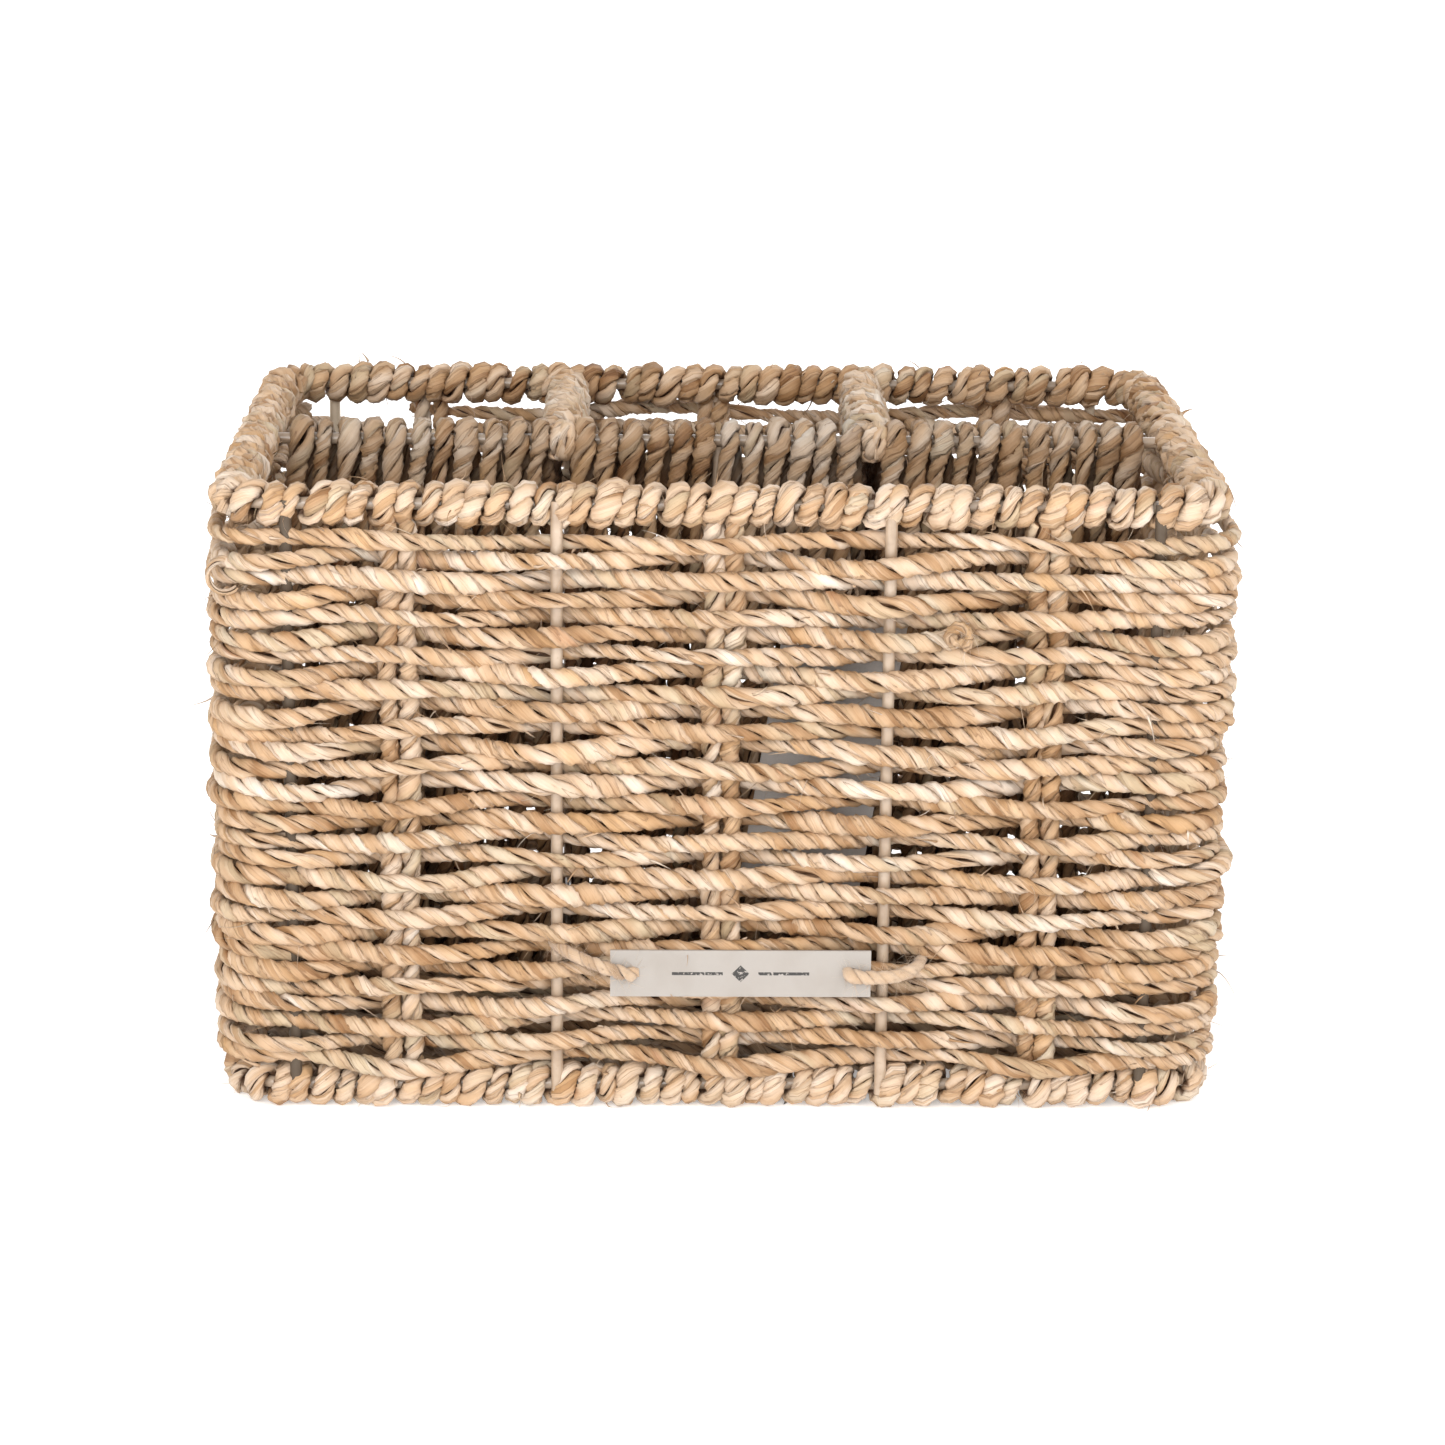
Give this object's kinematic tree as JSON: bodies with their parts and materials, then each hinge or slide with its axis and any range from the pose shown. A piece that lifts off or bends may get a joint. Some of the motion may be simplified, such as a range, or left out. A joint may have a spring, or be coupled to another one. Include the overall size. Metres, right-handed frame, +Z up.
{
  "type": "storage basket",
  "caption": "Rectangular woven seagrass storage basket on a wire frame, with a long front compartment, divided rear compartments and a small plain label tied to the front.",
  "frame": {"origin": "on the table, under the middle of the wire frame", "axes": "+X to the right along the long side, +Y from the labelled front to the back, +Z up"},
  "size_m": [0.2568, 0.1771, 0.16],
  "materials": {
    "frame_wire": "satin, straw-coloured paint",
    "seagrass": "dry twisted seagrass, matt with a slight sheen",
    "twine": "hairy jute",
    "label": "smooth, matt, ivory",
    "card": "plain, uncoated"
  },
  "bodies": {
    "root": {"top_hoop": "frame_wire", "foot_hoop": "frame_wire", "divider_rail": "frame_wire", "divider_foot_rail": "frame_wire", "divider_upright": "frame_wire", "cross_rail_left": "frame_wire", "cross_rail_right": "frame_wire", "base_wire_left": "frame_wire", "base_wire_right": "frame_wire", "post_front_left": "frame_wire", "post_front_right": "frame_wire", "post_back_left": "frame_wire", "post_back_right": "frame_wire", "front_upright_left": "frame_wire", "front_upright_right": "frame_wire", "back_upright_left": "frame_wire", "back_upright_right": "frame_wire", "side_upright_left": "frame_wire", "side_upright_right": "frame_wire", "rim_wrap_front": "seagrass", "rim_wrap_back": "seagrass", "rim_wrap_left": "seagrass", "rim_wrap_right": "seagrass", "rim_wrap_corners": "seagrass", "foot_wrap_front": "seagrass", "foot_wrap_back": "seagrass", "foot_wrap_left": "seagrass", "foot_wrap_right": "seagrass", "foot_wrap_corners": "seagrass", "front_stake_left": "seagrass", "front_stake_middle": "seagrass", "front_stake_right": "seagrass", "back_stake_left": "seagrass", "back_stake_middle": "seagrass", "back_stake_right": "seagrass", "left_stake_front": "seagrass", "left_stake_back": "seagrass", "right_stake_front": "seagrass", "right_stake_back": "seagrass", "front_courses": "seagrass", "back_courses": "seagrass", "left_courses": "seagrass", "right_courses": "seagrass", "corner_courses_front_left": "seagrass", "corner_courses_front_right": "seagrass", "corner_courses_back_left": "seagrass", "corner_courses_back_right": "seagrass", "divider_turns": "seagrass", "cross_turns_left": "seagrass", "cross_turns_right": "seagrass", "floor_mat_front": "seagrass", "floor_mat_left": "seagrass", "floor_mat_middle": "seagrass", "floor_mat_right": "seagrass", "label_strip": "label", "label_tie_left": "twine", "label_tie_right": "twine", "tag_card": "card"}
  },
  "joints": []
}
